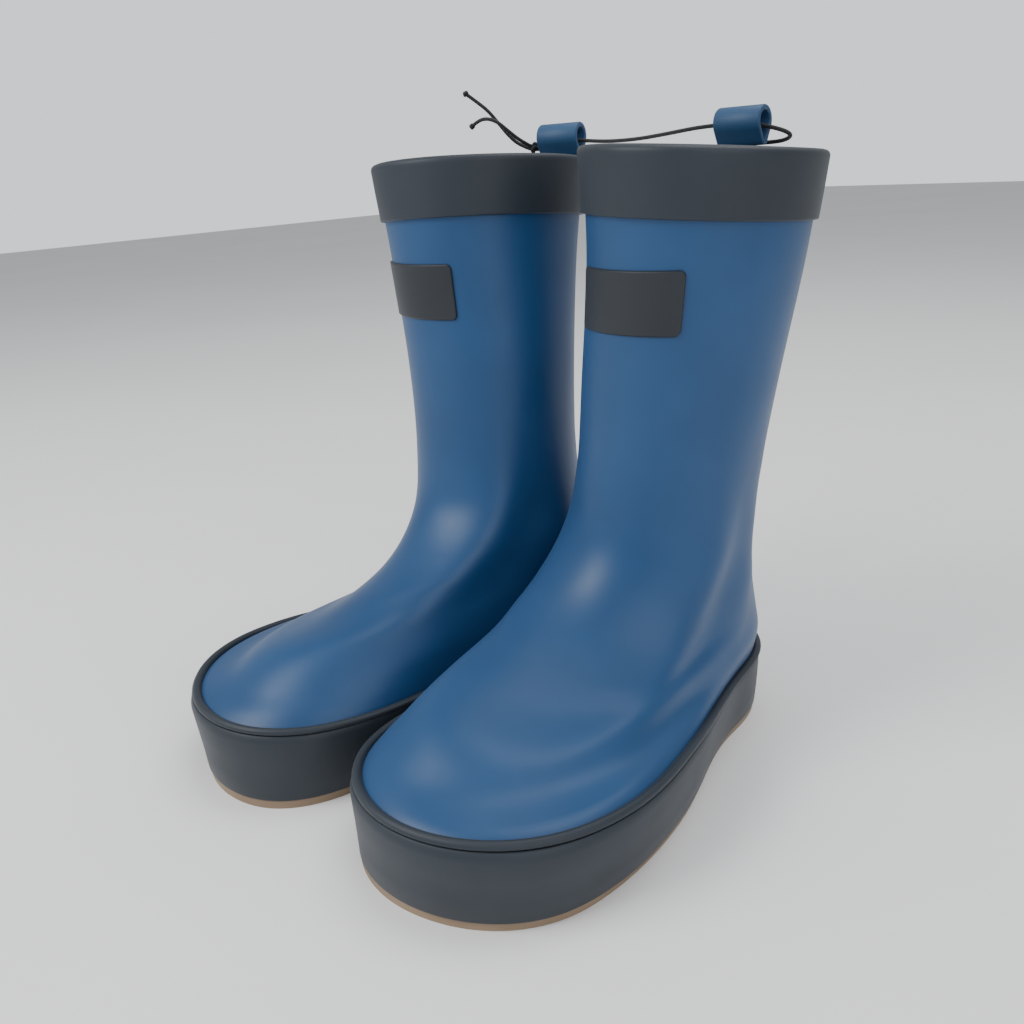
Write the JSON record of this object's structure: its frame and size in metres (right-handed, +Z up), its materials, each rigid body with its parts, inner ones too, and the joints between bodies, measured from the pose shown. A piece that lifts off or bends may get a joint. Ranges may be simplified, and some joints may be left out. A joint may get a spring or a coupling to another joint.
{
  "type": "pair of children's rubber rain boots",
  "caption": "Pair of children's rubber rain boots with dark cuffs, foxing and blank labels, loosely tied together by a thin knotted cord through the pull loops.",
  "frame": {"origin": "under the middle of the pair on the floor, the cords left out", "axes": "+Z up, -Y towards the toes, +X towards the wearer's left boot"},
  "size_m": [0.204, 0.2106, 0.2464],
  "materials": {
    "upper_rubber": "moulded blue rubber, satin with a soft bloom",
    "trim_rubber": "dark blue-grey rubber, matte",
    "label_rubber": "blank dark rubber patch, satin",
    "gum_rubber": "tan gum rubber, matte",
    "lining_knit": "fine cotton knit",
    "board": "pressed fibre board",
    "footbed_foam": "textile-covered foam",
    "stiffener_sheet": "plain rubberised sheet",
    "loop_webbing": "folded blue rubberised tape",
    "cord_black": "thin braided cord"
  },
  "bodies": {
    "right_boot": {"right_upper": "upper_rubber", "right_lining": "lining_knit", "right_cuff": "trim_rubber", "right_foxing": "trim_rubber", "right_foxing_bead": "trim_rubber", "right_outsole": "gum_rubber", "right_midsole": "board", "right_heel_counter": "stiffener_sheet", "right_toe_puff": "stiffener_sheet", "right_label_patch": "label_rubber", "right_loop_tails": "loop_webbing", "tie_cord": "cord_black", "tie_knot": "cord_black", "long_cord_tail": "cord_black", "short_cord_tail": "cord_black", "tail_end_knots": "cord_black"},
    "right_insole": {"right_footbed": "footbed_foam"},
    "right_loop": {"right_pull_loop": "loop_webbing"},
    "left_boot": {"left_upper": "upper_rubber", "left_lining": "lining_knit", "left_cuff": "trim_rubber", "left_foxing": "trim_rubber", "left_foxing_bead": "trim_rubber", "left_outsole": "gum_rubber", "left_midsole": "board", "left_heel_counter": "stiffener_sheet", "left_toe_puff": "stiffener_sheet", "left_label_patch": "label_rubber", "left_loop_tails": "loop_webbing"},
    "left_insole": {"left_footbed": "footbed_foam"},
    "left_loop": {"left_pull_loop": "loop_webbing"}
  },
  "joints": [
    {"name": "left_boot_swing", "type": "hinge", "parent": "right_boot", "child": "left_boot", "pos_m": [0.04037, 0.09526, 0.21741], "axis": [0, 0, 1], "range_deg": [0, 5]},
    {"name": "right_insole_lift", "type": "hinge", "parent": "right_boot", "child": "right_insole", "pos_m": [-0.05897, -0.09482, 0.01092], "axis": [0.9863, -0.165, 0], "range_deg": [0, 5]},
    {"name": "right_loop_bend", "type": "hinge", "parent": "right_boot", "child": "right_loop", "pos_m": [-0.04037, 0.08226, 0.21741], "axis": [0.9367, 0.3502, 0], "range_deg": [-4, 4], "stiffness_Nm_per_rad": 0.02},
    {"name": "left_insole_lift", "type": "hinge", "parent": "left_boot", "child": "left_insole", "pos_m": [0.05897, -0.08182, 0.01092], "axis": [0.9863, 0.165, 0], "range_deg": [0, 5]},
    {"name": "left_loop_bend", "type": "hinge", "parent": "left_boot", "child": "left_loop", "pos_m": [0.04037, 0.09526, 0.21741], "axis": [0.9863, 0.165, 0], "range_deg": [-4, 4], "stiffness_Nm_per_rad": 0.02}
  ]
}
